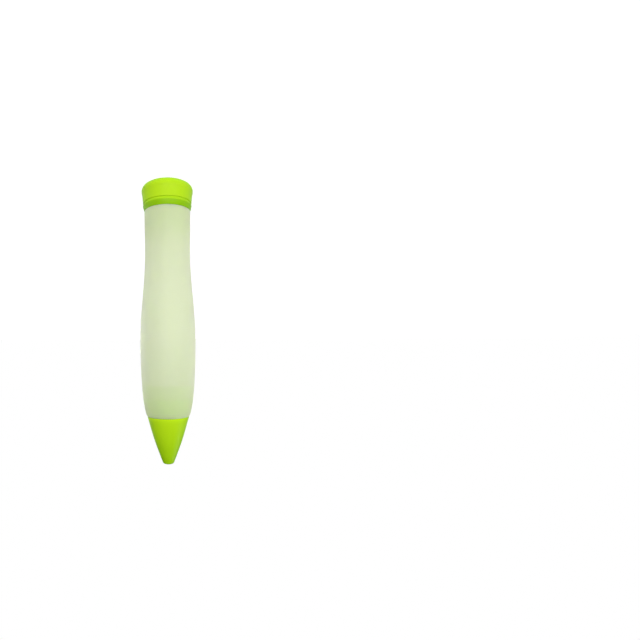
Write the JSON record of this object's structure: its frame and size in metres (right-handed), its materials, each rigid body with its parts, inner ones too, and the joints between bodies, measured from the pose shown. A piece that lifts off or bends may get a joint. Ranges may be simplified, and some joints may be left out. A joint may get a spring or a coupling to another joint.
{
  "type": "icing pen",
  "caption": "Squeezable icing pen: a waisted, full-bellied frosted silicone tube with a push-in cone nozzle and a flared end plug that pulls out for filling.",
  "frame": {"origin": "centre of the end plug's flat face, on which the pen stands nib up", "axes": "+Z along the pen's axis, from the end plug to the nozzle's tip; the pen is round, so +X and +Y are any two directions across it"},
  "size_m": [0.0298, 0.0298, 0.15],
  "materials": {
    "frosted_silicone": "frosted, translucent, satin",
    "lime_silicone": "opaque lime green, soft satin"
  },
  "bodies": {
    "plug": {"end_plug": "lime_silicone"},
    "tube": {"squeeze_body": "frosted_silicone"},
    "tip": {"nozzle": "lime_silicone"}
  },
  "joints": [
    {"name": "tube_pull", "type": "slide", "parent": "plug", "child": "tube", "axis": [0, 0, 1], "range_m": [0, 0.03]},
    {"name": "nozzle_pull", "type": "slide", "parent": "tube", "child": "tip", "axis": [0, 0, 1], "range_m": [0, 0.03]}
  ]
}
